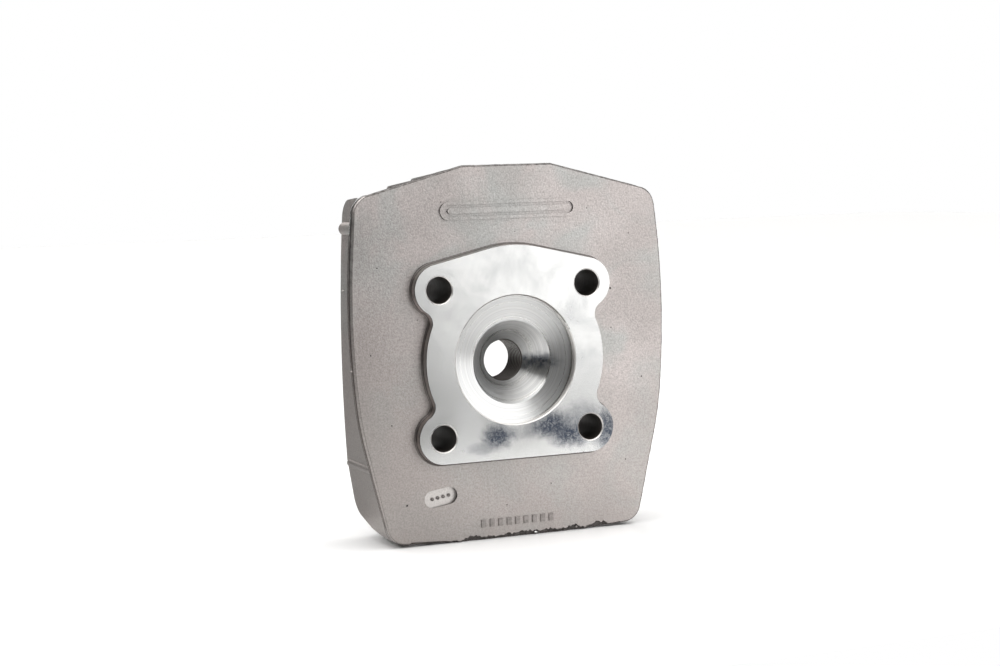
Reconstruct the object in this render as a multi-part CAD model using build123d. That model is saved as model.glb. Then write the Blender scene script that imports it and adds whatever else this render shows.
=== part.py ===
from build123d import *
from math import cos, radians, sin, tan
import os

# Cylinder head of a small air-cooled two-stroke, in millimetres.
# The origin is the centre of the four stud holes, on the machined gasket face.
# +Z is up, +X is to the right for someone facing the gasket face, and +Y runs
# from the gasket face back through the casting to the tips of the fins.

# ---- Driving dimensions -------------------------------------------------
STUD_SPACING_X = 50.0
STUD_SPACING_Z = 46.0
STUD_HOLE_R = 4.2  # close fit for an M8 stud
CYLINDER_R = 20.25  # register for the cylinder's spigot
PLUG_THREAD_R = 6.325  # minor radius of an M14 x 1.25 plug thread

HEAD_DEPTH = 33.0
PAD_HEIGHT = 3.0
PLATE_THICKNESS = 2.5
PLATE_TOP = 61.0
PLATE_BOTTOM = -56.4
PLATE_BULGE = 53.1

FIN_COUNT = 12
FIN_PITCH = 8.2
FIN_ROOT_THICKNESS = 3.0
FIN_TIP_THICKNESS = 2.3

# ---- Levels along Y -----------------------------------------------------
PLATE_FRONT = PAD_HEIGHT
PLATE_BACK = PAD_HEIGHT + PLATE_THICKNESS
REGISTER_DEPTH = 2.0
SQUISH_DEPTH = 3.6  # inner edge of the squish band
DOME_DEPTH = 11.0  # front rim of the plug hole
PLUG_SEAT = 23.0
NUT_SEAT = 24.0

# ---- Face plate ---------------------------------------------------------
TOP_FLAT_HALF = 15.0
SHOULDER_CORNER = (50.5, 51.6)
SHOULDER_CORNER_R = 6.5
BULGE_HEIGHT = 16.0
BEND_START = (51.8, -12.0)
BEND_END = (49.3, -26.5)
BASE_CORNER = (42.4, -55.2)
BASE_CORNER_R = 6.0
BASE_LAND_HALF = 18.0
PLATE_EDGE_R = 0.5

# ---- Gasket pad ---------------------------------------------------------
LOBE_R = 8.0
WAIST_R = 30.0  # sides of the pad, concentric with the cylinder
WAIST_FILLET = 4.0
CROWN_SLOPE = 12.9
CROWN_R = 36.0
PAD_DRAFT = 6.0
PAD_FOOT_FILLET = 0.7
HOLE_CHAMFER = 0.35

# ---- Combustion chamber and plug ----------------------------------------
CHAMBER_DROP = 0.8  # the dome and the plug sit this far below the stud centre
DISH_R = 21.5  # outside of the chamber block, behind the register's wall
SQUISH_INNER_R = 13.2
SQUISH_OVERLAP = 1.5  # the squish cone runs this far on under the dome
PLUG_RIM_R = 6.7
RIM_CHAMFER = PLUG_RIM_R - PLUG_THREAD_R
SEAT_CHAMFER = 0.7
PLUG_BOSS_R = 14.2
PLUG_WELL_R = 15.5

# ---- Stud columns -------------------------------------------------------
COLUMN_R = 8.0
NUT_WELL_R = 9.5
COLUMN_EDGE_R = 0.8

# ---- Fins ---------------------------------------------------------------
FIN_TOP_SLOPE = 4.0
FIN_TOP_DROPS = {1: 0.2, 2: 1.5}  # below the shoulder, fins counted inwards from the side walls
FIN_REAR_R = 3.5
WALL_REAR_R = 6.0
FIN_ROOT_FILLET = 1.2
FIN_TIP_FILLET = 0.8
BASE_SLOPES = {1: 17.0, 2: 8.0}  # counted in the same way
WALL_TOP = (44.3, 52.0)
WALL_BULGE = (46.6, 2.0)
WALL_BEND = (46.0, -31.5)
WALL_FOOT = (42.4, -56.0)
WALL_THICKNESS = 2.8

# ---- Small cast details -------------------------------------------------
# Ejector pads on the side walls: name, height, radius, how far they stand out.
EJECTOR_PADS = (("upper", 42.3, 2.1, 1.9), ("lower", -32.4, 1.2, 1.0))
EJECTOR_PAD_END = 1.8  # distance of the pad's end from the fin tips
LABEL_CENTRE = (0.0, 47.1)
LABEL_SIZE = (46.0, 5.6)
LABEL_BORDER = 0.9
LABEL_BAR = (41.0, 1.7)
LABEL_HEIGHT = 0.5
BASE_PIP_COUNT = 9
BASE_PIP_PITCH = 2.9
BASE_PIP_SIZE = (1.5, 2.4)
BASE_PIP_HEIGHT = 0.35
BASE_PIP_Z = -51.2
POCKET_CENTRE = (-25.6, -41.6)
POCKET_SIZE = (11.0, 5.4)
POCKET_TILT = 8.0
POCKET_DEPTH = 0.65  # at the centre; the floor slopes deeper to the right
POCKET_FLOOR_SLOPE = 5.0
POCKET_PIP_COUNT = 4
POCKET_PIP_PITCH = 1.9
POCKET_PIP_R = 0.55
POCKET_PIP_HEIGHT = 0.3

FAR = 200.0  # longer than anything in the model


# ---- Helpers ------------------------------------------------------------
def slab(outline, front, back, taper=0.0):
    """Extrude an X-Z outline from its back level to its front level."""
    return extrude(Plane.XZ.offset(-back) * outline, amount=back - front, taper=taper)


def rod(x, z, radius, front, back):
    """A round bar along Y."""
    return slab(Pos(x, z) * Circle(radius), front, back)


def turned(points):
    """Revolve a closed (radius, y) profile about the Y axis."""
    profile = make_face(Polyline(*points, close=True))
    return revolve(profile, Axis.Y)


def mirrored(solid):
    """The same solid on the other side of the symmetry plane."""
    return mirror(solid, about=Plane.YZ)


def shoulder_height(x):
    """Height of the plate's slanted shoulder at a distance x from the centre."""
    run = SHOULDER_CORNER[0] - TOP_FLAT_HALF
    fall = (PLATE_TOP - SHOULDER_CORNER[1]) / run
    return PLATE_TOP - max(abs(x) - TOP_FLAT_HALF, 0.0) * fall


def stud_positions():
    half_x, half_z = STUD_SPACING_X / 2, STUD_SPACING_Z / 2
    return {
        "upper_left": (-half_x, half_z),
        "upper_right": (half_x, half_z),
        "lower_left": (-half_x, -half_z),
        "lower_right": (half_x, -half_z),
    }


# ---- Face plate ---------------------------------------------------------
def plate_outline():
    """Flat top, slanted shoulders, barrel sides, tapered foot."""
    shoulder = Line((TOP_FLAT_HALF, PLATE_TOP), SHOULDER_CORNER)
    barrel = ThreePointArc(SHOULDER_CORNER, (PLATE_BULGE, BULGE_HEIGHT), BEND_START)
    bend = TangentArc(BEND_START, BEND_END, tangent=barrel % 1)
    taper = Line(BEND_END, BASE_CORNER)
    foot = Line(BASE_CORNER, (BASE_LAND_HALF, PLATE_BOTTOM))
    half = Curve() + [shoulder, barrel, bend, taper, foot]
    top = Line((-TOP_FLAT_HALF, PLATE_TOP), (TOP_FLAT_HALF, PLATE_TOP))
    land = Line((-BASE_LAND_HALF, PLATE_BOTTOM), (BASE_LAND_HALF, PLATE_BOTTOM))
    face = make_face(half + mirror(half, about=Plane.YZ) + top + land)
    for (x, z), radius in ((SHOULDER_CORNER, SHOULDER_CORNER_R), (BASE_CORNER, BASE_CORNER_R)):
        at_height = [v for v in face.vertices() if abs(v.Y - z) < 0.01]
        face = fillet(at_height, radius)
    return face


def above_pocket_floor(height):
    """A layer of the given height that lies on the sloping floor of the casting pocket."""
    x, z = POCKET_CENTRE
    floor = Pos(x, PLATE_FRONT + POCKET_DEPTH, z) * Rot(Z=POCKET_FLOOR_SLOPE)
    return floor * Pos(Y=-height / 2) * Box(FAR, height, FAR)


def casting_pocket():
    """Stadium-shaped recess in the plate's lower left."""
    stadium = Pos(*POCKET_CENTRE) * Rot(Z=POCKET_TILT) * SlotOverall(*POCKET_SIZE)
    return slab(stadium, PLATE_FRONT, PLATE_BACK) & above_pocket_floor(PLATE_THICKNESS)


def face_plate():
    plate = slab(plate_outline(), PLATE_FRONT, PLATE_BACK)
    front = plate.faces().sort_by(Axis.Y)[0]
    plate = fillet(front.outer_wire().edges(), PLATE_EDGE_R)
    plate -= rod(0, 0, DISH_R, PLATE_FRONT, PLATE_BACK)
    for x, z in stud_positions().values():
        plate -= rod(x, z, STUD_HOLE_R, PLATE_FRONT, PLATE_BACK)
    return plate - casting_pocket()


# ---- Gasket pad ---------------------------------------------------------
def pad_outline():
    """Four stud lobes, waisted sides, a crowned top and a straight bottom."""
    lobe_x, lobe_z = STUD_SPACING_X / 2, STUD_SPACING_Z / 2
    slope = radians(CROWN_SLOPE)
    crown_x = lobe_x + LOBE_R * sin(slope)
    crown_z = lobe_z + LOBE_R * cos(slope)
    apex = (0, crown_z + crown_x * tan(slope))
    shoulders = ((crown_x, crown_z), (lobe_x, lobe_z), (-lobe_x, lobe_z), (-crown_x, crown_z))
    crown = make_face(Polyline(apex, *shoulders, close=True))
    crown = fillet(crown.vertices().sort_by(Axis.Y)[-1], CROWN_R)
    outline = Rectangle(2 * lobe_x, 2 * (lobe_z + LOBE_R)) + Circle(WAIST_R) + crown
    for x, z in stud_positions().values():
        outline += Pos(x, z) * Circle(LOBE_R)
    necks = [v for v in outline.vertices() if abs(v.X) > lobe_x and abs(v.Y) < lobe_z]
    return fillet(necks, WAIST_FILLET)


def filleted_foot(pad):
    """Blend the pad's side into the plate's level with a small fillet."""
    ground = slab(Rectangle(FAR, FAR), PAD_HEIGHT, PLATE_BACK)
    joined = pad + ground
    at_level = [e for e in joined.edges() if abs(e.center().Y - PAD_HEIGHT) < 0.01]
    foot_edges = [e for e in at_level if Vector(*e.center()).length < PLATE_TOP]
    return fillet(foot_edges, PAD_FOOT_FILLET) - ground


def gasket_pad():
    outline = pad_outline()
    foot = offset(outline, PAD_HEIGHT * tan(radians(PAD_DRAFT)))
    pad = filleted_foot(slab(foot, 0, PAD_HEIGHT, taper=PAD_DRAFT))
    pad -= rod(0, 0, CYLINDER_R, 0, REGISTER_DEPTH)
    pad -= rod(0, 0, DISH_R, REGISTER_DEPTH, PAD_HEIGHT)
    for x, z in stud_positions().values():
        pad -= rod(x, z, STUD_HOLE_R, 0, PAD_HEIGHT)
    front_edges = pad.edges().group_by(Axis.Y)[0]
    rims = [edge for edge in front_edges if edge.is_closed]
    return chamfer(rims, HOLE_CHAMFER)


# ---- Combustion chamber and plug boss -----------------------------------
def combustion_dish():
    body = rod(0, 0, DISH_R, REGISTER_DEPTH, DOME_DEPTH)
    fall = (SQUISH_DEPTH - REGISTER_DEPTH) / (CYLINDER_R - SQUISH_INNER_R)
    inner_r = SQUISH_INNER_R - SQUISH_OVERLAP
    inner_y = SQUISH_DEPTH + SQUISH_OVERLAP * fall
    squish_rim = (CYLINDER_R, REGISTER_DEPTH)
    squish = turned(((0, REGISTER_DEPTH), squish_rim, (inner_r, inner_y), (0, inner_y)))
    flare = (SQUISH_INNER_R - PLUG_RIM_R) / (DOME_DEPTH - SQUISH_DEPTH)
    mouth_r = SQUISH_INNER_R + (SQUISH_DEPTH - REGISTER_DEPTH) * flare
    mouth = (mouth_r, REGISTER_DEPTH)
    dome = turned(((0, REGISTER_DEPTH), mouth, (PLUG_RIM_R, DOME_DEPTH), (0, DOME_DEPTH)))
    return body - squish - Pos(0, 0, -CHAMBER_DROP) * dome


def plug_boss():
    thread_end = PLUG_SEAT - SEAT_CHAMFER
    boss = turned(
        (
            (PLUG_RIM_R, DOME_DEPTH),
            (PLUG_BOSS_R, DOME_DEPTH),
            (PLUG_BOSS_R, PLUG_SEAT),
            (PLUG_THREAD_R + SEAT_CHAMFER, PLUG_SEAT),
            (PLUG_THREAD_R, thread_end),
            (PLUG_THREAD_R, DOME_DEPTH + RIM_CHAMFER),
        )
    )
    return Pos(0, 0, -CHAMBER_DROP) * boss


# ---- Stud columns -------------------------------------------------------
def stud_column(x, z):
    column = rod(x, z, COLUMN_R, PLATE_BACK, NUT_SEAT)
    column = fillet(column.edges().sort_by(Axis.Y)[-1], COLUMN_EDGE_R)
    return column - rod(x, z, STUD_HOLE_R, PLATE_BACK, NUT_SEAT)


def cleared(solid):
    """Cut the columns, the chamber, the plug boss and their spanner wells out of a fin."""
    solid -= rod(0, 0, DISH_R, PLATE_BACK, DOME_DEPTH)
    solid -= rod(0, -CHAMBER_DROP, PLUG_BOSS_R, DOME_DEPTH, PLUG_SEAT)
    solid -= rod(0, -CHAMBER_DROP, PLUG_WELL_R, PLUG_SEAT, HEAD_DEPTH)
    for x, z in stud_positions().values():
        solid -= rod(x, z, COLUMN_R, PLATE_BACK, NUT_SEAT)
        solid -= rod(x, z, NUT_WELL_R, NUT_SEAT, HEAD_DEPTH)
    return solid


# ---- Fins ---------------------------------------------------------------
def side_profile(top, base_slope, rear_radius):
    """Y-Z outline of a fin: sloping top, rounded rear corners, sloping base."""
    depth = HEAD_DEPTH - PLATE_BACK
    rear_top = top - depth * tan(radians(FIN_TOP_SLOPE))
    rear_base = PLATE_BOTTOM + depth * tan(radians(base_slope))
    corners = (
        (PLATE_BACK, PLATE_BOTTOM),
        (HEAD_DEPTH, rear_base),
        (HEAD_DEPTH, rear_top),
        (PLATE_BACK, top),
    )
    face = make_face(Polyline(*corners, close=True))
    rear = face.vertices().group_by(Axis.X)[-1]
    return fillet(rear, rear_radius)


def fin_envelope(x, rank, rear_radius):
    """The side profile of the fin whose outer side is at x, carried right across the head."""
    top = shoulder_height(x) - FIN_TOP_DROPS.get(rank, 0.0)
    profile = side_profile(top, BASE_SLOPES.get(rank, 0.0), rear_radius)
    half = extrude(Plane.YZ * profile, amount=FAR / 2, both=True)
    return half & slab(plate_outline(), PLATE_BACK, HEAD_DEPTH)


def fin_blade(x):
    """A tapered blade with a filleted root and a rounded tip, standing along Z."""
    root, tip = FIN_ROOT_THICKNESS / 2, FIN_TIP_THICKNESS / 2
    right = Line((root, PLATE_BACK + FIN_ROOT_FILLET), (tip, HEAD_DEPTH))
    flare = RadiusArc((root + FIN_ROOT_FILLET, PLATE_BACK), right @ 0, FIN_ROOT_FILLET)
    half = Curve() + [flare, right]
    ends = [
        Line((-root - FIN_ROOT_FILLET, PLATE_BACK), (root + FIN_ROOT_FILLET, PLATE_BACK)),
        Line((-tip, HEAD_DEPTH), (tip, HEAD_DEPTH)),
    ]
    section = make_face(half + mirror(half, about=Plane.YZ) + ends)
    section = fillet(section.vertices().group_by(Axis.Y)[-1], FIN_TIP_FILLET)
    return Pos(X=x) * extrude(section, amount=FAR / 2, both=True)


def fin_pieces(index):
    """One right-hand fin, as the separate stretches that the bosses leave of it."""
    rank = FIN_COUNT // 2 - index
    x = (index + 0.5) * FIN_PITCH
    fin = fin_blade(x) & fin_envelope(x + FIN_TIP_THICKNESS / 2, rank, FIN_REAR_R)
    return cleared(fin).solids().sort_by(Axis.Z, reverse=True)


def side_wall():
    """The outermost right-hand fin, which follows the plate's barrel and taper."""
    inner_top = (WALL_TOP[0] - WALL_THICKNESS, WALL_TOP[1])
    inner_bulge = (WALL_BULGE[0] - WALL_THICKNESS, WALL_BULGE[1])
    inner_bend = (WALL_BEND[0] - WALL_THICKNESS, WALL_BEND[1])
    inner_foot = (WALL_FOOT[0] - WALL_THICKNESS, WALL_FOOT[1])
    outline = Curve() + [
        ThreePointArc(WALL_TOP, WALL_BULGE, WALL_BEND),
        Line(WALL_BEND, WALL_FOOT),
        Line(WALL_FOOT, inner_foot),
        Line(inner_foot, inner_bend),
        ThreePointArc(inner_bend, inner_bulge, inner_top),
        Line(inner_top, WALL_TOP),
    ]
    wall = slab(make_face(outline), PLATE_BACK, HEAD_DEPTH)
    return wall & fin_envelope(WALL_TOP[0], 1, WALL_REAR_R)


# ---- Small cast details -------------------------------------------------
def ejector_pad(wall, z, radius, stand_out):
    """Half-round rib along the wall's outer face, left by an ejector pin."""
    face = max(v.X for v in (wall & Pos(Z=z) * Box(FAR, FAR, 0.01)).vertices())
    end = HEAD_DEPTH - EJECTOR_PAD_END
    rib = rod(face + stand_out - radius, z, radius, PLATE_BACK, end)
    rib = fillet(rib.edges().sort_by(Axis.Y)[-1], radius / 2)
    return (rib - wall).solids().sort_by(Axis.X)[-1]


def label_frame():
    """Blank raised label: a bordered field with one plain bar."""
    field = SlotOverall(*LABEL_SIZE)
    border = field - SlotOverall(LABEL_SIZE[0] - 2 * LABEL_BORDER, LABEL_SIZE[1] - 2 * LABEL_BORDER)
    mark = Pos(*LABEL_CENTRE) * (border + SlotOverall(*LABEL_BAR))
    return slab(mark, PLATE_FRONT - LABEL_HEIGHT, PLATE_FRONT)


def base_pips():
    """A plain row of short raised bars near the foot of the plate."""
    first = -(BASE_PIP_COUNT - 1) / 2
    bars = Sketch()
    for i in range(BASE_PIP_COUNT):
        bars += Pos((first + i) * BASE_PIP_PITCH, BASE_PIP_Z) * Rectangle(*BASE_PIP_SIZE)
    return slab(bars, PLATE_FRONT - BASE_PIP_HEIGHT, PLATE_FRONT)


def pocket_pips():
    """A row of round pips on the floor of the casting pocket."""
    first = -(POCKET_PIP_COUNT - 1) / 2
    dots = Sketch()
    for i in range(POCKET_PIP_COUNT):
        dots += Pos((first + i) * POCKET_PIP_PITCH, 0) * Circle(POCKET_PIP_R)
    dots = Pos(*POCKET_CENTRE) * Rot(Z=POCKET_TILT) * dots
    return slab(dots, PLATE_FRONT, PLATE_BACK) & above_pocket_floor(POCKET_PIP_HEIGHT)


# ---- Assembly -----------------------------------------------------------
def build():
    nodes = {
        "face_plate": face_plate(),
        "gasket_pad": gasket_pad(),
        "combustion_dish": combustion_dish(),
        "plug_boss": plug_boss(),
        "label_frame": label_frame(),
        "base_pips": base_pips(),
        "pocket_pips": pocket_pips(),
    }
    for name, (x, z) in stud_positions().items():
        nodes[f"stud_column_{name}"] = stud_column(x, z)

    stretch_names = {1: ("",), 2: ("_upper", "_lower"), 3: ("_upper", "_middle", "_lower")}
    for index in range(FIN_COUNT // 2 - 1):
        pieces = fin_pieces(index)
        for stretch, piece in zip(stretch_names[len(pieces)], pieces):
            nodes[f"fin_right_{index + 1}{stretch}"] = piece
            nodes[f"fin_left_{index + 1}{stretch}"] = mirrored(piece)

    wall = side_wall()
    nodes["side_wall_right"] = wall
    nodes["side_wall_left"] = mirrored(wall)
    for name, z, radius, stand_out in EJECTOR_PADS:
        rib = ejector_pad(wall, z, radius, stand_out)
        nodes[f"ejector_pad_{name}_right"] = rib
        nodes[f"ejector_pad_{name}_left"] = mirrored(rib)
    return nodes


os.makedirs("parts", exist_ok=True)
for node_name, shape in build().items():
    export_step(shape, f"parts/{node_name}.step")
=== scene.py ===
import math

import bmesh
import bpy
from mathutils import Matrix, Vector, noise


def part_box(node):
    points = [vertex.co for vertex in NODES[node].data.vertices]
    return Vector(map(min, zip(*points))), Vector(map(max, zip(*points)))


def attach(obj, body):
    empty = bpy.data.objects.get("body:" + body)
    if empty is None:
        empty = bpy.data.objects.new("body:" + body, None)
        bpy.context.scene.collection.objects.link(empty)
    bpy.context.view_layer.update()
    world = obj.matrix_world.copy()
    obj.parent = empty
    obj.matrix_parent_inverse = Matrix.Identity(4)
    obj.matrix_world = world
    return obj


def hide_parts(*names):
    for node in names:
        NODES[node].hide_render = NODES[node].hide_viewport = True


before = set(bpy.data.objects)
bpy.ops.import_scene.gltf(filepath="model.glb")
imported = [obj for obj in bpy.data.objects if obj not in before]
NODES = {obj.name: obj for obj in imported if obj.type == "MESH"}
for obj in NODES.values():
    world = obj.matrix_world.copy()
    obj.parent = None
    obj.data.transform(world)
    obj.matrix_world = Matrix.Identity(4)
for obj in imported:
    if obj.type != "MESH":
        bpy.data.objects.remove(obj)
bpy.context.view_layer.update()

# The cylinder head stands on its foot. Metres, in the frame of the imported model:
# +X to the right, +Y from the gasket face to the fin tips, +Z up.
MM = 0.001
FLOOR_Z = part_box("face_plate")[0].z


# ---- Camera -------------------------------------------------------------
# Metres, degrees, and a focal length in mm.
CAMERA_PLACE = (-0.2360, -0.5553, 0.0570)
CAMERA_YAW = -22.56
CAMERA_PITCH = 4.59
CAMERA_ROLL = -1.76
CAMERA_LENS = 69.7


def add_camera():
    """A long lens in front of the part, to its left and a little above its middle."""
    data = bpy.data.cameras.new("camera")
    data.lens = CAMERA_LENS
    data.sensor_width = 36.0
    data.clip_start = 0.01
    data.clip_end = 20.0
    camera = bpy.data.objects.new("camera", data)
    yaw = Matrix.Rotation(math.radians(CAMERA_YAW), 4, "Z")
    tilt = Matrix.Rotation(math.radians(90.0 - CAMERA_PITCH), 4, "X")
    roll = Matrix.Rotation(math.radians(CAMERA_ROLL), 4, "Z")
    camera.matrix_world = Matrix.Translation(CAMERA_PLACE) @ yaw @ tilt @ roll
    bpy.context.scene.collection.objects.link(camera)
    bpy.context.scene.camera = camera


# ---- Node helpers -------------------------------------------------------
def new_material(name):
    """An empty node material with one Principled shader."""
    material = bpy.data.materials.new(name)
    material.use_nodes = True
    tree = material.node_tree
    tree.nodes.clear()
    shader = tree.nodes.new("ShaderNodeBsdfPrincipled")
    output = tree.nodes.new("ShaderNodeOutputMaterial")
    tree.links.new(shader.outputs["BSDF"], output.inputs["Surface"])
    return material, tree, shader


def feed(tree, socket, value):
    """Link another node's output to a socket, or set it to a plain value."""
    if isinstance(value, bpy.types.NodeSocket):
        tree.links.new(value, socket)
    else:
        socket.default_value = value


def add_node(tree, kind, settings=None, **inputs):
    """A node with its plain settings made and its inputs either set or linked."""
    node = tree.nodes.new("ShaderNode" + kind)
    for key, value in (settings or {}).items():
        setattr(node, key, value)
    for key, value in inputs.items():
        feed(tree, node.inputs[key], value)
    return node


def place(tree):
    """Position in the model's frame, in metres."""
    return add_node(tree, "TexCoord").outputs["Object"]


def noise_value(tree, size, detail=3.0, rough=0.55, distortion=0.0, shift=0.0):
    """Noise whose largest lumps are about size metres across, from 0 to 1."""
    moved = add_node(tree, "Mapping", Vector=place(tree), Location=(shift, shift, shift))
    made = add_node(
        tree, "TexNoise", Vector=moved.outputs["Vector"], Scale=1.0 / size,
        Detail=detail, Roughness=rough, Distortion=distortion,
    )
    return made.outputs["Fac"]


def ramp(tree, value, low, high, out_low=0.0, out_high=1.0):
    """Smooth step from low to high."""
    made = add_node(tree, "MapRange", {"interpolation_type": "SMOOTHSTEP"}, Value=value)
    made.inputs["From Min"].default_value = low
    made.inputs["From Max"].default_value = high
    made.inputs["To Min"].default_value = out_low
    made.inputs["To Max"].default_value = out_high
    return made.outputs["Result"]


def mix_colour(tree, factor, first, second):
    """From the first colour at factor 0 to the second at factor 1."""
    made = add_node(tree, "Mix", {"data_type": "RGBA"})
    for i, value in ((0, factor), (6, first), (7, second)):
        feed(tree, made.inputs[i], value)
    return made.outputs[2]


def maths(tree, operation, first, second=0.0):
    """One step of arithmetic on sockets or plain numbers."""
    made = add_node(tree, "Math", {"operation": operation})
    feed(tree, made.inputs[0], first)
    feed(tree, made.inputs[1], second)
    return made.outputs[0]


def bump(tree, height, distance, strength=1.0, under=None):
    """Relief from a height, on top of the relief of under."""
    made = add_node(tree, "Bump", Height=height, Distance=distance, Strength=strength)
    if under is not None:
        tree.links.new(under, made.inputs["Normal"])
    return made.outputs["Normal"]


# ---- Materials ----------------------------------------------------------
CAST_WARM = (0.645, 0.592, 0.575, 1.0)
CAST_COOL = (0.575, 0.578, 0.562, 1.0)
CAST_SHADE = (0.33, 0.30, 0.285, 1.0)
CAST_PIT = (0.16, 0.145, 0.135, 1.0)
# Near-black for painted shade in creases, along edges, in pores and breaks, and for dirt.
DIRT_AND_SHADE_DARK = (0.055, 0.047, 0.043, 1.0)
BRIGHT_METAL = (0.62, 0.62, 0.61, 1.0)
DULL_METAL = (0.54, 0.545, 0.55, 1.0)
WORN_METAL = (0.42, 0.41, 0.40, 1.0)
PALE_METAL = (0.80, 0.785, 0.765, 1.0)
# For the oily stains on the gasket face, and the painted dark reflection on the dome.
STAIN_AND_DARK_REFLECTION = (0.06, 0.072, 0.098, 1.0)
# Painted shade for the walls of the holes and the thread: near-black, in two tones.
HOLE_SHADE_DEEP = (0.02, 0.016, 0.013, 1.0)
HOLE_SHADE_LIGHT = (0.08, 0.068, 0.06, 1.0)
FLOOR_WHITE = (0.93, 0.93, 0.93, 1.0)
ROOM_WHITE = (1.0, 0.995, 0.985, 1.0)
PURE_WHITE = (1.0, 1.0, 1.0, 1.0)

# Oily stains on the gasket face, in mm: centre x and z, half width and half height; then strength.
STAINS = (
    (-7.0, -23.5, 5.5, 4.2, 1.0),
    (-12.5, -27.0, 4.5, 2.2, 0.45),
    (3.0, -23.0, 7.0, 2.5, 0.3),
    (11.5, -21.0, 8.0, 4.5, 1.0),
    (18.5, -25.0, 7.5, 3.8, 1.0),
    (22.0, -19.0, 6.0, 5.0, 0.5),
    (30.5, -24.0, 5.5, 6.5, 1.0),
)
# A painted dark reflection across the right of the dome, in the same order.
DOME_PAINTED_REFLECTION = (9.5, -1.6, 6.5, 2.6, 0.9)


def cast_aluminium(name, shade=0.0, polish=0.0, bands=(), darker_below=None):
    """Die-cast skin, lightly blasted: a fine grain over soft warm and cool patches.

    Shade darkens it all with dirt and painted shade, and polish brightens it. Painted shade darkens it
    towards the lower left and out to the sides. Bands are stretches of depth darkened with painted
    shade, where shade falls in creases: their two ends along Y in mm, and their strength. The last
    pair of heights in mm makes it darker towards the bottom: untouched at the first, darkest at the
    second.
    """
    material, tree, shader = new_material(name)
    grain = noise_value(tree, 0.6 * MM, detail=2.0, rough=0.8)
    specks = noise_value(tree, 1.5 * MM, detail=4.0, rough=0.75, shift=0.3)
    patches = noise_value(tree, 20 * MM, detail=3.0, distortion=0.6, shift=0.7)
    shades = noise_value(tree, 30 * MM, detail=2.0, shift=1.9)
    split = add_node(tree, "SeparateXYZ", Vector=place(tree))
    colour = mix_colour(tree, ramp(tree, patches, 0.4, 0.65), CAST_WARM, CAST_COOL)
    colour = mix_colour(tree, ramp(tree, shades, 0.38, 0.68, 0.0, 0.32), colour, CAST_SHADE)
    # Painted shade: the skin gets darker towards the lower left, away from the light on the right.
    corner = maths(tree, "ADD", split.outputs["X"], split.outputs["Z"])
    painted_side_shade = ramp(tree, corner, -90 * MM, 45 * MM, 0.74, 0.0)
    colour = mix_colour(tree, painted_side_shade, colour, CAST_SHADE)
    # Painted shade: darker out towards the sides, and more so lower down.
    painted_edge_shade = maths(tree, "ABSOLUTE", split.outputs["X"])
    painted_edge_shade = maths(tree, "SUBTRACT", painted_edge_shade, maths(tree, "MULTIPLY", split.outputs["Z"], 0.5))
    colour = mix_colour(tree, ramp(tree, painted_edge_shade, 30 * MM, 70 * MM, 0.0, 0.45), colour, CAST_SHADE)
    colour = mix_colour(tree, ramp(tree, specks, 0.35, 0.6, 0.2, 0.0), colour, CAST_PIT)
    colour = mix_colour(tree, ramp(tree, grain, 0.3, 0.65, 0.36, 0.0), colour, CAST_PIT)
    # Painted shade: each band darkens a stretch of depth towards near-black, where shade falls in a
    # crease.
    for low, high, strength in bands:
        middle, half = (low + high) / 2 * MM, (high - low) / 2 * MM
        away = maths(tree, "ABSOLUTE", maths(tree, "SUBTRACT", split.outputs["Y"], middle))
        colour = mix_colour(tree, ramp(tree, away, half * 0.6, half, strength, 0.0), colour, DIRT_AND_SHADE_DARK)
    if polish:
        colour = mix_colour(tree, ramp(tree, specks, 0.3, 0.6, polish * 0.8, polish), colour, PALE_METAL)
    # Dirt and painted shade: near-black specks over the whole face; the darker finishes use it along
    # edges, breaks and pores.
    if shade:
        dirt_and_shade_specks = ramp(tree, specks, 0.3, 0.7, min(shade * 1.25, 1.0), shade * 0.75)
        colour = mix_colour(tree, dirt_and_shade_specks, colour, DIRT_AND_SHADE_DARK)
    # Darker towards the bottom, between the two heights.
    if darker_below:
        clean, dirty = darker_below
        toward_bottom = ramp(tree, split.outputs["Z"], dirty * MM, clean * MM, 0.85, 0.0)
        colour = mix_colour(tree, toward_bottom, colour, DIRT_AND_SHADE_DARK)
    tree.links.new(colour, shader.inputs["Base Color"])
    tree.links.new(ramp(tree, specks, 0.3, 0.7, 0.40, 0.52), shader.inputs["Roughness"])
    normal = bump(tree, specks, 0.06 * MM, 0.8)
    normal = bump(tree, grain, 0.05 * MM, 1.0, under=normal)
    tree.links.new(normal, shader.inputs["Normal"])
    shader.inputs["Metallic"].default_value = 1.0 - 0.8 * shade
    return material


def radius_from(tree, x, z):
    """Distance from an axis along Y, in metres."""
    scaled = add_node(
        tree, "Mapping", Vector=place(tree), Location=(-x, 0.0, -z), Scale=(1.0, 0.0, 1.0),
    )
    length = add_node(tree, "VectorMath", {"operation": "LENGTH"}, Vector=scaled.outputs["Vector"])
    return length.outputs["Value"]


def ring_noise(tree, x, z, pitch, detail=2.0):
    """Uneven tool marks round an axis along Y: noise that changes with the radius only."""
    turns = maths(tree, "MULTIPLY", radius_from(tree, x, z), 1.0 / pitch)
    made = add_node(tree, "TexNoise", {"noise_dimensions": "1D"}, W=turns, Scale=1.0, Detail=detail)
    return made.outputs["Fac"]


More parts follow.
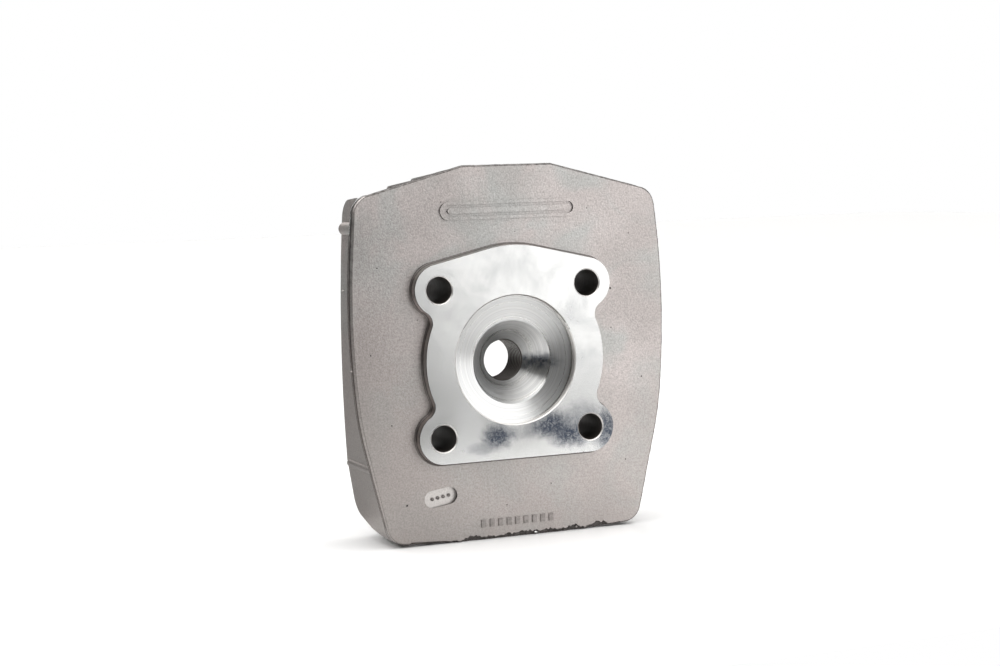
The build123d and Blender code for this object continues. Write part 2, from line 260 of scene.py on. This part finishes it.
def blotch_mask(tree, x, z, half_width, half_height, strength):
    """A blotch with a torn edge, for the stains on the gasket face and the painted dark reflection on
    the dome.
    """
    sizes = (1.0 / half_width, 0.0, 1.0 / half_height)
    centred = add_node(
        tree, "Mapping", Vector=place(tree), Scale=[size / MM for size in sizes],
        Location=(-x * sizes[0], 0.0, -z * sizes[2]),
    )
    length = add_node(tree, "VectorMath", {"operation": "LENGTH"}, Vector=centred.outputs["Vector"])
    torn = noise_value(tree, 4.3 * MM, detail=4.0, rough=0.6, distortion=0.8, shift=x * 0.137)
    reach = maths(tree, "ADD", length.outputs["Value"], torn)
    return ramp(tree, reach, 0.8, 1.9, strength, 0.0)


# The axis of the face mill, well to the right of the part: x and z in metres.
CUTTER_AXIS = (0.16, -0.05)


def milled_aluminium(name, stains):
    """Face-milled gasket face: wide cutter arcs, a hazy film and a few oily stains."""
    material, tree, shader = new_material(name)
    arcs = ring_noise(tree, *CUTTER_AXIS, 1.2 * MM, detail=1.0)
    haze = noise_value(tree, 12 * MM, detail=4.0, rough=0.6, distortion=0.3, shift=0.4)
    fleck = noise_value(tree, 1.3 * MM, detail=4.0, rough=0.7, distortion=1.2, shift=2.2)
    colour = mix_colour(tree, ramp(tree, haze, 0.45, 0.75, 0.0, 0.5), BRIGHT_METAL, DULL_METAL)
    colour = mix_colour(tree, ramp(tree, arcs, 0.3, 0.7, 0.12, 0.0), colour, DULL_METAL)
    mottle = ramp(tree, fleck, 0.38, 0.6, 0.68, 1.0)
    for numbers in stains:
        mask = maths(tree, "MULTIPLY", blotch_mask(tree, *numbers), mottle)
        colour = mix_colour(tree, mask, colour, STAIN_AND_DARK_REFLECTION)
    tree.links.new(colour, shader.inputs["Base Color"])
    tree.links.new(ramp(tree, haze, 0.35, 0.75, 0.20, 0.28), shader.inputs["Roughness"])
    tree.links.new(bump(tree, haze, 0.02 * MM, 0.3), shader.inputs["Normal"])
    shader.inputs["Metallic"].default_value = 1.0
    return material


def turned_aluminium():
    """Lathe-turned chamber: fine rings round the Y axis that spread the light along the radius."""
    material, tree, shader = new_material("turned_aluminium")
    fine = ring_noise(tree, 0.0, 0.0, 0.3 * MM)
    broad = ring_noise(tree, 0.0, 0.0, 1.6 * MM, detail=3.0)
    colour = mix_colour(tree, ramp(tree, broad, 0.35, 0.65, 0.0, 0.7), BRIGHT_METAL, DULL_METAL)
    colour = mix_colour(tree, ramp(tree, fine, 0.35, 0.6, 0.5, 0.0), colour, WORN_METAL)
    fleck = noise_value(tree, 2.2 * MM, detail=3.0, rough=0.6, shift=3.1)
    flecks = ramp(tree, fleck, 0.35, 0.6, 0.5, 1.0)
    # Painted reflection: a dark blotch across the right of the dome.
    painted_dark_mask = maths(tree, "MULTIPLY", blotch_mask(tree, *DOME_PAINTED_REFLECTION), flecks)
    colour = mix_colour(tree, painted_dark_mask, colour, STAIN_AND_DARK_REFLECTION)
    tree.links.new(colour, shader.inputs["Base Color"])
    tree.links.new(ramp(tree, broad, 0.3, 0.7, 0.26, 0.34), shader.inputs["Roughness"])
    tree.links.new(bump(tree, fine, 0.02 * MM, 0.8), shader.inputs["Normal"])
    shader.inputs["Metallic"].default_value = 1.0
    shader.inputs["Anisotropic"].default_value = 0.8
    shader.inputs["Anisotropic Rotation"].default_value = 0.25
    tangent = add_node(tree, "Tangent", {"direction_type": "RADIAL", "axis": "Y"})
    tree.links.new(tangent.outputs["Tangent"], shader.inputs["Tangent"])
    return material


def drilled_aluminium():
    """Drilled hole wall, near-black as painted shade inside the hole, with coarse tool marks along Y."""
    material, tree, shader = new_material("drilled_aluminium")
    depth = add_node(tree, "SeparateXYZ", Vector=place(tree)).outputs["Y"]
    turns = maths(tree, "MULTIPLY", depth, 1.0 / (0.5 * MM))
    marks = add_node(tree, "TexNoise", {"noise_dimensions": "1D"}, W=turns, Scale=1.0, Detail=2.0)
    painted_dark_mask = noise_value(tree, 4 * MM, detail=3.0)
    colour = mix_colour(tree, painted_dark_mask, HOLE_SHADE_DEEP, HOLE_SHADE_LIGHT)
    tree.links.new(colour, shader.inputs["Base Color"])
    tree.links.new(ramp(tree, marks.outputs["Fac"], 0.3, 0.7, 0.45, 0.65), shader.inputs["Roughness"])
    tree.links.new(bump(tree, marks.outputs["Fac"], 0.03 * MM, 0.6), shader.inputs["Normal"])
    shader.inputs["Metallic"].default_value = 0.4
    return material


def use_material(piece, material):
    """One material all over."""
    piece.data.materials.clear()
    piece.data.materials.append(material)


# ---- Stage and light ----------------------------------------------------
FLOOR_FRONT = -0.17
FLOOR_BACK = 3.5
FLOOR_HALF_WIDTH = 2.5
ROOM_GLOW = 0.08
CEILING_GLOW = 2.45
CEILING_FROM = 25.0
CEILING_TO = 50.0
CEILING_TILT = 0.12  # the bright ceiling comes lower behind the part than in front of it
CEILING_LEAN = 0.1  # and a little lower on the left than on the right


def add_floor():
    """A pale table top that ends a little way in front of the part."""
    mesh = bpy.data.meshes.new("floor")
    corners = [
        (x, y, FLOOR_Z)
        for x, y in (
            (-FLOOR_HALF_WIDTH, FLOOR_FRONT), (FLOOR_HALF_WIDTH, FLOOR_FRONT),
            (FLOOR_HALF_WIDTH, FLOOR_BACK), (-FLOOR_HALF_WIDTH, FLOOR_BACK),
        )
    ]
    mesh.from_pydata(corners, [], [(0, 1, 2, 3)])
    floor = bpy.data.objects.new("floor", mesh)
    bpy.context.scene.collection.objects.link(floor)
    material, _, shader = new_material("floor_white")
    shader.inputs["Base Color"].default_value = FLOOR_WHITE
    shader.inputs["Roughness"].default_value = 0.3
    shader.inputs["Specular IOR Level"].default_value = 0.25
    use_material(floor, material)


def add_card(name, corners, shade):
    """A dark card beside the part. Only the metal's reflections see it."""
    mesh = bpy.data.meshes.new(name)
    mesh.from_pydata(corners, [], [(0, 1, 2, 3)])
    card = bpy.data.objects.new(name, mesh)
    bpy.context.scene.collection.objects.link(card)
    material, _, shader = new_material(name)
    shader.inputs["Base Color"].default_value = (shade, shade, shade, 1.0)
    shader.inputs["Roughness"].default_value = 0.8
    use_material(card, material)
    card.visible_camera = False
    card.visible_diffuse = False
    card.visible_shadow = False


def add_softbox(name, azimuth, elevation, distance, size, glow):
    """A rectangular area light of even brightness that faces the part. Azimuth 90 is to the right."""
    data = bpy.data.lights.new(name, "AREA")
    data.shape = "RECTANGLE"
    data.size, data.size_y = size
    data.energy = glow * math.pi * size[0] * size[1]
    light = bpy.data.objects.new(name, data)
    a, e = math.radians(azimuth), math.radians(elevation)
    away = Vector((math.sin(a) * math.cos(e), -math.cos(a) * math.cos(e), math.sin(e)))
    light.location = away * distance
    light.rotation_mode = "QUATERNION"
    light.rotation_quaternion = away.to_track_quat("Z", "Y")
    light.visible_camera = False
    bpy.context.scene.collection.objects.link(light)


def add_world():
    """White to the camera; to everything else a dim room under a bright ceiling."""
    world = bpy.data.worlds.new("studio")
    bpy.context.scene.world = world
    world.use_nodes = True
    tree = world.node_tree
    tree.nodes.clear()
    split = add_node(tree, "SeparateXYZ", Vector=add_node(tree, "TexCoord").outputs["Generated"])
    low, high = (math.sin(math.radians(angle)) for angle in (CEILING_FROM, CEILING_TO))
    height = maths(tree, "MULTIPLY", split.outputs["Y"], CEILING_TILT)
    height = maths(tree, "ADD", height, split.outputs["Z"])
    height = maths(tree, "SUBTRACT", height, maths(tree, "MULTIPLY", split.outputs["X"], CEILING_LEAN))
    glow = ramp(tree, height, low, high, ROOM_GLOW, CEILING_GLOW)
    room = add_node(tree, "Background", Color=ROOM_WHITE, Strength=glow)
    white = add_node(tree, "Background", Color=PURE_WHITE, Strength=1.0)
    path = add_node(tree, "LightPath")
    mix = add_node(tree, "MixShader")
    output = tree.nodes.new("ShaderNodeOutputWorld")
    tree.links.new(path.outputs["Is Camera Ray"], mix.inputs[0])
    tree.links.new(room.outputs[0], mix.inputs[1])
    tree.links.new(white.outputs[0], mix.inputs[2])
    tree.links.new(mix.outputs[0], output.inputs["Surface"])


CARD_X = -0.24  # the plane of the two upright cards
CARD_FRONT, CARD_JOIN, CARD_BACK = -0.2, 0.2, 1.2
CARD_TOP, FAR_CARD_TOP = FLOOR_Z + 0.22, 0.34
CARD_FOOT = FLOOR_Z + 2 * MM
BEHIND_FRONT = 0.036  # the lying card begins just behind the fin tips
BEHIND_RIGHT, BEHIND_FAR_RIGHT = -0.03, 0.05  # and widens to the right as it goes back


def add_stage():
    """Two upright dark cards to the left, a lying one behind, and a softbox to the right."""
    bpy.context.scene.view_settings.view_transform = "Standard"
    add_floor()
    add_world()
    left = [
        (CARD_X, CARD_FRONT, CARD_FOOT), (CARD_X, CARD_JOIN, CARD_FOOT),
        (CARD_X, CARD_JOIN, CARD_TOP), (CARD_X, CARD_FRONT, CARD_TOP),
    ]
    far_left = [
        (CARD_X, CARD_JOIN, CARD_FOOT), (CARD_X, CARD_BACK, CARD_FOOT),
        (CARD_X, CARD_BACK, FAR_CARD_TOP), (CARD_X, CARD_JOIN, FAR_CARD_TOP),
    ]
    behind = [
        (CARD_X, BEHIND_FRONT, CARD_FOOT), (CARD_X, CARD_BACK, CARD_FOOT),
        (BEHIND_FAR_RIGHT, CARD_BACK, CARD_FOOT), (BEHIND_RIGHT, BEHIND_FRONT, CARD_FOOT),
    ]
    add_card("card_left", left, 0.03)
    add_card("card_far_left", far_left, 0.35)
    add_card("card_behind", behind, 0.38)
    add_softbox("softbox_right", azimuth=49.0, elevation=17.4, distance=0.8, size=(1.0, 0.75), glow=2.0)


# ---- Which faces are machined, which get dirt and painted shade ----------
STUD_AXES = [
    tuple((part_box(f"stud_column_{name}")[0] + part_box(f"stud_column_{name}")[1]) / 2)
    for name in ("upper_left", "upper_right", "lower_left", "lower_right")
]
HOLE_R = 4.2 * MM
HOLE_RIM_R = 4.7 * MM
REGISTER_RIM_R = 20.8 * MM
PLUG_RIM_R = 7.2 * MM
PLUG_AXIS_Z = (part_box("plug_boss")[0].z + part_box("plug_boss")[1].z) / 2
GASKET_FACE_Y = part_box("gasket_pad")[0].y
NUT_SEAT_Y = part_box("stud_column_upper_left")[1].y
PLUG_SEAT_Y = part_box("plug_boss")[1].y
PLATE_FRONT_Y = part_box("face_plate")[0].y
PLATE_BACK_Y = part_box("face_plate")[1].y
PLATE_EDGE_R = 0.5 * MM
SIDE_X = 41 * MM  # the plate's edge further left than this is its left side
TINY = 0.02 * MM


def stud_distance(point):
    """How far a point is from the nearest stud's axis."""
    return min(math.hypot(point.x - axis[0], point.z - axis[2]) for axis in STUD_AXES)


def finish_of(centre, normal, relief):
    """The finish of one face, from where it lies and which way it faces."""
    flat = abs(normal.y) > 0.99
    if relief:
        # The sides of raised marks get dirt and painted shade.
        return "cast" if flat and centre.y < PLATE_FRONT_Y else "dirt_and_shade"
    if stud_distance(centre) < HOLE_R + TINY:
        return "drilled"
    if flat and abs(centre.y - GASKET_FACE_Y) < TINY:
        return "milled"
    if flat and min(abs(centre.y - NUT_SEAT_Y), abs(centre.y - PLUG_SEAT_Y)) < TINY:
        return "rubbed"
    from_axis = math.hypot(centre.x, centre.z - PLUG_AXIS_Z)
    if from_axis < PLUG_RIM_R:
        return "bore"
    if centre.y < PLATE_FRONT_Y - TINY:
        near_rim = stud_distance(centre) < HOLE_RIM_R or from_axis < REGISTER_RIM_R
        return "rim" if near_rim else "skirt"
    if centre.x < -SIDE_X and normal.x < -0.3:
        return "edge"
    if flat and PLATE_FRONT_Y + TINY < centre.y < PLATE_BACK_Y - TINY:
        return "pocket"
    # Faces that turn round the plate's edges get painted shade along them.
    return "cast" if flat or centre.y > PLATE_BACK_Y - TINY else "dirt_and_shade"


def use_finishes(piece, relief=False):
    """Give each face its own finish. The sides of raised marks get dirt and painted shade."""
    order = ("cast", "milled", "drilled", "skirt", "dirt_and_shade", "pocket", "edge", "rim", "bore", "rubbed")
    piece.data.materials.clear()
    for finish in order:
        piece.data.materials.append(FINISHES[finish])
    for polygon in piece.data.polygons:
        polygon.material_index = order.index(finish_of(polygon.center, polygon.normal, relief))


def use_dish_finishes(piece):
    """Turned inside; as cast on the back and round the outside of the block."""
    piece.data.materials.clear()
    for finish in ("turned", "cast"):
        piece.data.materials.append(FINISHES[finish])
    for polygon in piece.data.polygons:
        outside = math.hypot(polygon.center.x, polygon.center.z) > REGISTER_RIM_R
        polygon.material_index = int(outside or polygon.normal.y > 0.5)


# ---- New pieces ---------------------------------------------------------
def ragged(x, y=0.0, z=0.0):
    """Smooth uneven value from about -1 to 1, the same every time."""
    return noise.noise(Vector((x, y, z)))


def new_piece(name, shape, finish):
    """A new object in the scene from a finished bmesh."""
    mesh = bpy.data.meshes.new(name)
    shape.to_mesh(mesh)
    shape.free()
    piece = bpy.data.objects.new(name, mesh)
    bpy.context.scene.collection.objects.link(piece)
    use_material(piece, FINISHES[finish])
    return piece


def belong(piece):
    """The piece rides on the one body there is."""
    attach(piece, "root")


def swept(name, rings, finish):
    """A closed tube through equal rings of points, capped at both ends."""
    count = len(rings[0])
    shape = bmesh.new()
    rings = [[shape.verts.new(point) for point in ring] for ring in rings]
    for ring, following in zip(rings, rings[1:]):
        for j in range(count):
            k = (j + 1) % count
            shape.faces.new((ring[j], ring[k], following[k], following[j]))
    shape.faces.new(rings[0])
    shape.faces.new(rings[-1])
    bmesh.ops.recalc_face_normals(shape, faces=shape.faces)
    return new_piece(name, shape, finish)


SIDE_ROUND = 0.4 * MM  # how much wider the front edge is rounded along the left side
SIDE_DEEPER = 0.6  # and how much deeper, as a share
SIDE_END = 50 * MM  # it fades out towards this height above and below the centre
SIDE_FADE = 9 * MM


def soften_side(shape):
    """Round the plate's front edge more along the left side than over the top."""
    for vertex in shape.verts:
        x, y, z = vertex.co
        depth = (y - PLATE_FRONT_Y) / PLATE_EDGE_R
        if x > -SIDE_X or depth > 1.01:
            continue
        share = min(max((SIDE_END - abs(z)) / SIDE_FADE, 0.0), 1.0)
        vertex.co.x += SIDE_ROUND * (1.0 - depth) * share
        vertex.co.y += (y - PLATE_FRONT_Y) * SIDE_DEEPER * share


def carved(node_name, piece_name, cutters):
    """A copy of a casting node with cutters taken out of it, to show in the node's place."""
    mesh = NODES[node_name].data.copy()
    mesh.name = piece_name
    shape = bmesh.new()
    shape.from_mesh(mesh)
    bmesh.ops.remove_doubles(shape, verts=shape.verts, dist=0.001 * MM)
    if node_name == "face_plate":
        soften_side(shape)
    shape.to_mesh(mesh)
    shape.free()
    use_plain = bpy.data.objects.new(piece_name, mesh)
    bpy.context.scene.collection.objects.link(use_plain)
    use_plain.matrix_world = NODES[node_name].matrix_world
    use_finishes(use_plain)
    for cutter in cutters:
        cut = use_plain.modifiers.new(cutter.name, "BOOLEAN")
        cut.operation = "DIFFERENCE"
        cut.solver = "EXACT"
        cut.material_mode = "TRANSFER"
        cut.use_self = True
        cut.object = cutter
    bpy.context.view_layer.update()
    seen = use_plain.evaluated_get(bpy.context.evaluated_depsgraph_get())
    use_plain.data = bpy.data.meshes.new_from_object(seen)
    use_plain.modifiers.clear()
    for cutter in cutters:
        bpy.data.objects.remove(cutter)
    smooth_by_angle(use_plain)
    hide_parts(node_name)
    belong(use_plain)


def smooth_by_angle(piece, degrees=28.0):
    """Smooth shading. Edges stay sharp at big turns, and round the faces that are flat across Y."""
    shape = bmesh.new()
    shape.from_mesh(piece.data)
    for face in shape.faces:
        face.smooth = True
    for edge in shape.edges:
        edge.smooth = edge.is_manifold and edge.calc_face_angle() < math.radians(degrees)
        if edge.smooth:
            flat = [abs(face.normal.y) > 0.9999 for face in edge.link_faces]
            edge.smooth = flat[0] == flat[1]
    shape.to_mesh(piece.data)
    shape.free()


THREAD_PITCH = 1.25 * MM
THREAD_MAJOR_R = 7.0 * MM
THREAD_INNER_R = 6.1 * MM
THREAD_CREST = 0.16 * MM
THREAD_STEPS = 72


def thread_cutter():
    """A helical ridge of 60 degree section that cuts an M14 x 1.25 thread."""
    front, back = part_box("plug_boss")[0].y - THREAD_PITCH, PLUG_SEAT_Y + THREAD_PITCH
    root = THREAD_CREST + 2 * (THREAD_MAJOR_R - THREAD_INNER_R) * math.tan(math.radians(30.0))
    section = (
        (THREAD_INNER_R, -root / 2),
        (THREAD_MAJOR_R, -THREAD_CREST / 2),
        (THREAD_MAJOR_R, THREAD_CREST / 2),
        (THREAD_INNER_R, root / 2),
    )
    rings = []
    for step in range(round((back - front) / THREAD_PITCH * THREAD_STEPS) + 1):
        turn = math.tau * step / THREAD_STEPS
        y = front + THREAD_PITCH * step / THREAD_STEPS
        rings.append([
            (radius * math.cos(turn), y + offset, PLUG_AXIS_Z + radius * math.sin(turn))
            for radius, offset in section
        ])
    return swept("thread_cutter", rings, "drilled")


CHIP_FROM, CHIP_TO = -36.0 * MM, 36.0 * MM
CHIP_DENSE_FROM, CHIP_DENSE_TO = -19.0 * MM, 30.0 * MM
CHIP_STEP = 0.25 * MM
CHIP_HEIGHT = 1.6 * MM
CHIP_DEPTH = 1.4 * MM
CHIP_FADE = 5 * MM  # beside the dense stretch the bite shrinks over this length
CHIP_LEAST_GROWS = 6 * MM  # and to its left the least bite grows over this one
CHIP_OUTSIDE = 1.0 * MM  # how far the cutter stands out of the plate
CHIP_LUMPS, CHIP_TEETH = 4.3 * MM, 0.9 * MM
FOOT_LAND_HALF = 18 * MM
FOOT_SLOPE = 0.049  # rise of the lower edge beside the land


def foot_height(x):
    """Height of the plate's lower edge."""
    return FLOOR_Z + max(abs(x) - FOOT_LAND_HALF, 0.0) * FOOT_SLOPE


def chip_cutter():
    """The broken lower front edge: one long ragged bite that comes and goes."""
    rings = []
    for step in range(round((CHIP_TO - CHIP_FROM) / CHIP_STEP) + 1):
        x = CHIP_FROM + step * CHIP_STEP
        outside = max(CHIP_DENSE_FROM - x, x - CHIP_DENSE_TO, 0.0)
        share = max(1.0 - outside / CHIP_FADE, 0.28)
        coarse, fine = ragged(x / CHIP_LUMPS, 7.1), ragged(x / CHIP_TEETH, 2.3)
        least = 0.06 + 0.4 * min(max((CHIP_DENSE_FROM - x) / CHIP_LEAST_GROWS, 0.0), 1.0)
        bite = max(share * (0.8 + 0.6 * coarse + 0.45 * fine), least + 0.06 * fine)
        base, height = foot_height(x), CHIP_HEIGHT * bite
        depth = CHIP_DEPTH * (0.5 + bite * 0.5) * (1.0 + 0.25 * ragged(x / (1.4 * MM), 4.4))
        low, front = base - CHIP_OUTSIDE, PLATE_FRONT_Y
        rings.append([
            (x, front - CHIP_OUTSIDE, low),
            (x, front + depth, low),
            (x, front + depth, base + height * 0.15),
            (x, front + depth * 0.75, base + height * (0.62 + 0.12 * ragged(x / MM, 9.0))),
            (x, front + depth * 0.35, base + height * (0.86 + 0.12 * ragged(x / MM, 5.0))),
            (x, front, base + height),
            (x, front - CHIP_OUTSIDE, base + height * 1.2),
        ])
    # The cut faces take this finish: painted shade in the broken edge.
    return swept("chip_cutter", rings, "shade_black")


def pore_cutter(name, x, y, z, radius):
    """A small uneven gas pore."""
    shape = bmesh.new()
    bmesh.ops.create_icosphere(shape, subdivisions=2, radius=radius)
    for vert in shape.verts:
        direction = vert.co.normalized()
        vert.co *= 1.0 + 0.25 * ragged(direction.x * 2 + x * 900, direction.y * 2, direction.z * 2)
        vert.co += Vector((x, y, z))
    # Its walls take this finish: painted shade in the pore.
    return new_piece(name, shape, "shade_black")


# Gas pores on the plate's face, in mm: x, z, radius.
PLATE_PORES = (
    (-36.9, -43.2, 0.32), (-31.5, 14.0, 0.2), (-44.0, 30.5, 0.22), (-41.0, -18.0, 0.22),
    (41.5, 38.0, 0.2), (45.0, -8.5, 0.25), (38.5, -35.0, 0.22), (12.0, -40.5, 0.2),
    (-3.5, -46.0, 0.22), (27.0, 46.5, 0.18), (-22.5, 50.0, 0.2), (34.5, 8.0, 0.2),
    (-47.0, 4.0, 0.25), (2.0, 40.0, 0.16), (34.6, 20.6, 0.38),
)
# Pores on the gasket pad, in mm: x, y, z, radius.
PAD_PORES = ((22.3, 0.0, -30.95, 0.22),)

RIM_FROM = 48 * MM  # the plate's own outline is further out than this, and its holes are nearer


def plate_outline(spacing):
    """Evenly spaced points and outward normals round the plate's side."""
    rim = {}
    for vertex in NODES["face_plate"].data.vertices:
        point = vertex.co
        if abs(point.y - PLATE_BACK_Y) < TINY and math.hypot(point.x, point.z) > RIM_FROM:
            rim[round(math.atan2(point.z, point.x), 4)] = Vector((point.x, 0.0, point.z))
    corners = [rim[angle] for angle in sorted(rim)]
    outline = []
    for i, start in enumerate(corners):
        end = corners[(i + 1) % len(corners)]
        pieces = max(round((end - start).length / spacing), 1)
        outline += [start.lerp(end, j / pieces) for j in range(pieces)]
    count = len(outline)
    normals = []
    for i in range(count):
        along = (outline[(i + 3) % count] - outline[i - 3]).normalized()
        normals.append(Vector((along.z, 0.0, -along.x)))
    return list(zip(outline, normals))


FLASH_BREAK_Z = -0.5 * MM
FLASH_HALF_WIDTH = 0.09 * MM
FLASH_ROOT = 0.08 * MM  # how far the flash reaches into the plate


def parting_flash(name, stations, y, height, finish):
    """The thin trimmed flash where the two halves of the mould met."""
    rings = []
    for i, (point, normal) in enumerate(stations):
        end = min(i, len(stations) - 1 - i)
        x, z = point.x / MM, point.z / MM
        waves, teeth = ragged(x * 0.35, z * 0.35), ragged(x * 1.7, z * 1.7, 3.0)
        rise = height * (1.0 + 0.45 * waves + 0.35 * teeth) * min((end + 0.5) / 4.0, 1.0)
        level = y + 0.08 * MM * ragged(x * 0.2, z * 0.2, 6.0)
        rings.append([
            tuple(point + normal * out + Vector((0.0, level + across, 0.0)))
            for out, across in (
                (-FLASH_ROOT, -FLASH_HALF_WIDTH),
                (rise * 0.9, -FLASH_HALF_WIDTH),
                (rise, -FLASH_HALF_WIDTH * 0.6),
                (rise, FLASH_HALF_WIDTH * 0.6),
                (rise * 0.9, FLASH_HALF_WIDTH),
                (-FLASH_ROOT, FLASH_HALF_WIDTH),
            )
        ])
    piece = swept(name, rings, finish)
    smooth_by_angle(piece, 20.0)
    belong(piece)


def add_flash():
    """Bright at the left corner, where the trimmer rubbed it; near-black over the top and down the
    right, as painted shade.
    """
    outline = plate_outline(0.4 * MM)

    def nearest(x, z):
        spot = Vector((x, 0.0, z))
        return min(range(len(outline)), key=lambda i: (outline[i][0] - spot).length)

    def stretch(first, last):
        return [outline[(first + i) % len(outline)] for i in range((last - first) % len(outline))]

    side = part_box("face_plate")[1].x
    foot_right, foot_left = nearest(45 * MM, -51 * MM), nearest(-45 * MM, -51 * MM)
    shoulder, below = nearest(-46 * MM, 54 * MM), nearest(-side, 40 * MM)
    split = nearest(-side, FLASH_BREAK_Z)
    corner = nearest(45 * MM, 50 * MM)
    # Painted shade: the flash over the top and down the right is near-black, for a dark line along the
    # edge.
    parting_flash("parting_flash_right", stretch(foot_right, corner), 3.75 * MM, 0.2 * MM, "shade_black")
    parting_flash("parting_flash_top", stretch(corner, shoulder), 3.75 * MM, 0.12 * MM, "shade_black")
    parting_flash("parting_flash_corner", stretch(shoulder, below), 4.4 * MM, 0.42 * MM, "rubbed")
    parting_flash("parting_flash_upper", stretch(below, split), 4.4 * MM, 0.26 * MM, "cast")
    parting_flash("parting_flash_lower", stretch(split, foot_left), 4.35 * MM, 0.2 * MM, "cast")


# Beads of metal left on the casting, in mm: name, x, y, z, radius.
BEADS = (
    ("bead_wall", -45.9, 30.4, 22.6, 0.55),
    ("bead_break", -52.9, 4.2, -0.5, 0.32),
    ("bead_foot", 6.2, 3.2, -55.6, 0.45),
    ("bead_foot_left", -7.0, 3.4, -55.4, 0.33),
    ("bead_foot_right", 20.5, 3.4, -55.3, 0.33),
)


def add_bead(name, x, y, z, radius):
    """A small splash of metal that the mould left."""
    shape = bmesh.new()
    bmesh.ops.create_icosphere(shape, subdivisions=3, radius=1.0)
    for vert in shape.verts:
        direction = vert.co.copy()
        size = 1.0 + 0.35 * ragged(direction.x * 1.5 + x, direction.y * 1.5, direction.z * 1.5)
        vert.co = Vector((direction.x * 1.3, direction.y, direction.z * 0.8)) * size * radius * MM
        vert.co += Vector((x, y, z)) * MM
    for face in shape.faces:
        face.smooth = True
    piece = new_piece(name, shape, "rubbed" if name == "bead_foot" else "cast")
    belong(piece)


def add_details():
    """The three replaced nodes, the flash and the beads."""
    pores = [
        pore_cutter(f"plate_pore_{i}", x * MM, PLATE_FRONT_Y, z * MM, radius * MM)
        for i, (x, z, radius) in enumerate(PLATE_PORES)
    ]
    carved("face_plate", "chipped_plate", [chip_cutter()] + pores)
    pores = [
        pore_cutter(f"pad_pore_{i}", *(value * MM for value in numbers))
        for i, numbers in enumerate(PAD_PORES)
    ]
    carved("gasket_pad", "pitted_pad", pores)
    carved("plug_boss", "threaded_boss", [thread_cutter()])
    add_flash()
    for numbers in BEADS:
        add_bead(*numbers)


# ---- Build --------------------------------------------------------------
FINISHES = {
    "cast": cast_aluminium("cast_aluminium"),
    # Dirt and painted shade: plate edges, pocket walls and the sides of raised marks, darkened with
    # near-black specks.
    "dirt_and_shade": cast_aluminium("cast_dirt_and_shade", shade=0.8),
    "dirty": cast_aluminium("cast_dirty", shade=0.35),
    # Painted shade: near-black, for the broken lower edge, the pores and the dark flash over the top and
    # down the right.
    "shade_black": cast_aluminium("cast_shade_black", shade=0.95),
    "rubbed": milled_aluminium("rubbed_aluminium", stains=()),
    "pocket": cast_aluminium("cast_pocket", polish=0.3),
    "rim": cast_aluminium("cut_rim", polish=0.8),
    "bore": cast_aluminium("tapped_bore", darker_below=(2.0, -4.0)),
    # Painted shade: near-black bands of depth where the plate's side meets the fin wall and beside the
    # flash.
    "edge": cast_aluminium("cast_edge", bands=((5.05, 6.05, 1.0), (3.5, 4.1, 0.7))),
    # Painted shade: near-black bands of depth round the pad's side, under its face and where it meets
    # the plate.
    "skirt": cast_aluminium("cast_skirt", bands=((0.1, 0.6, 0.8), (2.1, 3.4, 0.8))),
    "milled": milled_aluminium("milled_aluminium", stains=STAINS),
    "turned": turned_aluminium(),
    "drilled": drilled_aluminium(),
}

add_camera()
add_stage()
for name, node in NODES.items():
    if name == "combustion_dish":
        use_dish_finishes(node)
    elif name == "base_pips":
        use_material(node, FINISHES["dirty"])
    else:
        use_finishes(node, relief=name in ("label_frame", "pocket_pips"))
add_details()
